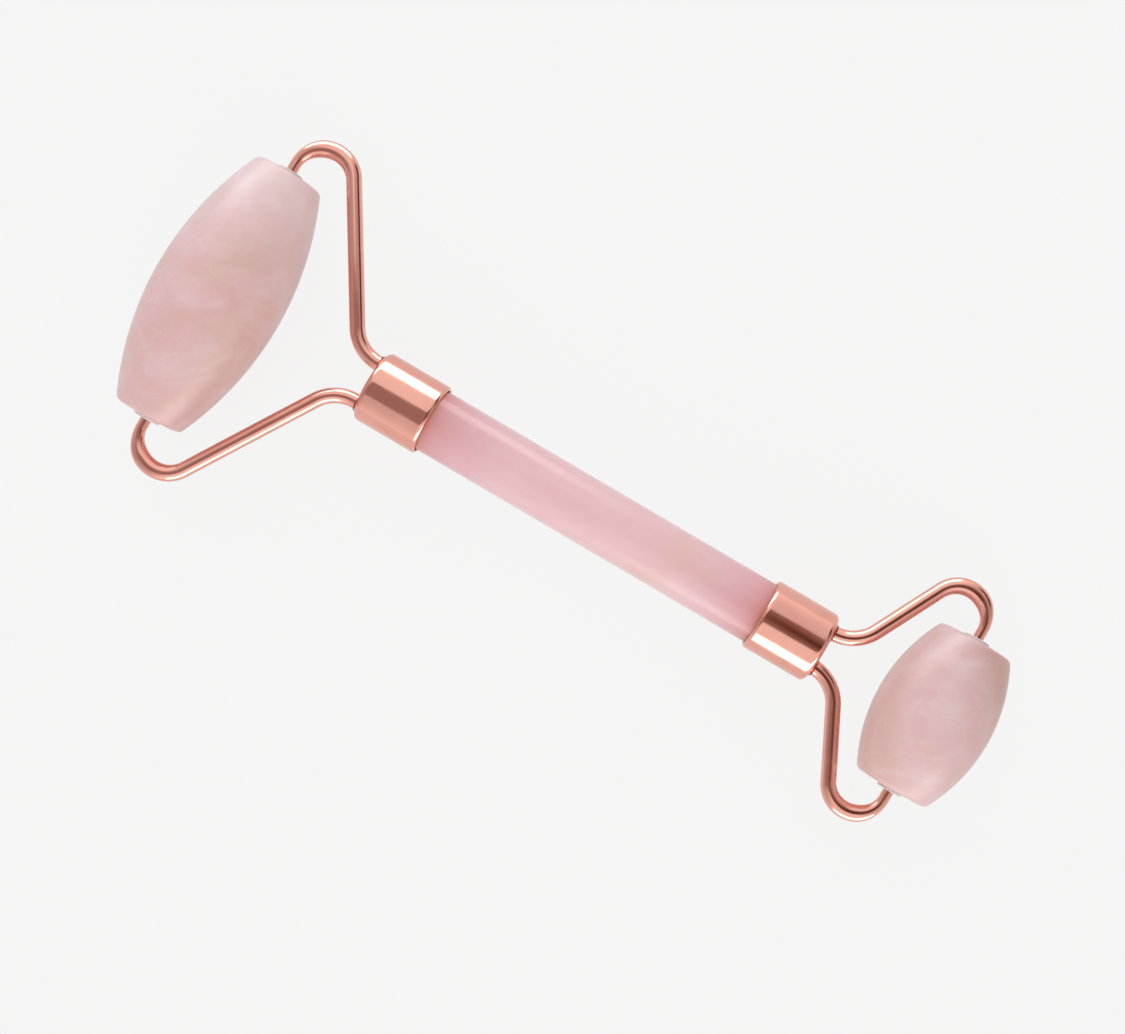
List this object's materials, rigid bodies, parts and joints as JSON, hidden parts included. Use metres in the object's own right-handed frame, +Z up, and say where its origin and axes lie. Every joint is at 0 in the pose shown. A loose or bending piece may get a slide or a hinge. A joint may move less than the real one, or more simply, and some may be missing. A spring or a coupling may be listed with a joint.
{
  "type": "two-ended stone face roller",
  "caption": "Hand-held face massager: a polished stone rod between metal ferrules, with a barrel-shaped stone roller turning freely in a bent wire frame at each end.",
  "frame": {"origin": "centre of the bounding box, on the handle's own axis", "axes": "+X along the handle towards the small roller, +Y to the left along the roller axles, +Z up, square to the plane of the wire frames"},
  "size_m": [0.1438, 0.0578, 0.0196],
  "materials": {
    "handle_stone": "polished pink rose quartz",
    "roller_stone": "satin pale rose quartz",
    "plated_metal": "bright rose gold plating",
    "nylon": "natural translucent white",
    "resin": "cast clear amber resin"
  },
  "bodies": {
    "handle_assembly": {"handle_rod": "handle_stone", "large_ferrule": "plated_metal", "large_potting_plug": "resin", "large_arm_left": "plated_metal", "large_arm_right": "plated_metal", "large_braze_left": "plated_metal", "large_braze_right": "plated_metal", "small_ferrule": "plated_metal", "small_potting_plug": "resin", "small_arm_left": "plated_metal", "small_arm_right": "plated_metal", "small_braze_left": "plated_metal", "small_braze_right": "plated_metal"},
    "large_roller": {"large_stone": "roller_stone", "large_bush_left": "nylon", "large_bush_right": "nylon"},
    "small_roller": {"small_stone": "roller_stone", "small_bush_left": "nylon", "small_bush_right": "nylon"}
  },
  "joints": [
    {"name": "large_roller_spin", "type": "hinge", "parent": "handle_assembly", "child": "large_roller", "pos_m": [-0.0621, 0, 0], "axis": [0, 1, 0], "continuous": true},
    {"name": "small_roller_spin", "type": "hinge", "parent": "handle_assembly", "child": "small_roller", "pos_m": [0.06285, 0, 0], "axis": [0, 1, 0], "continuous": true}
  ]
}
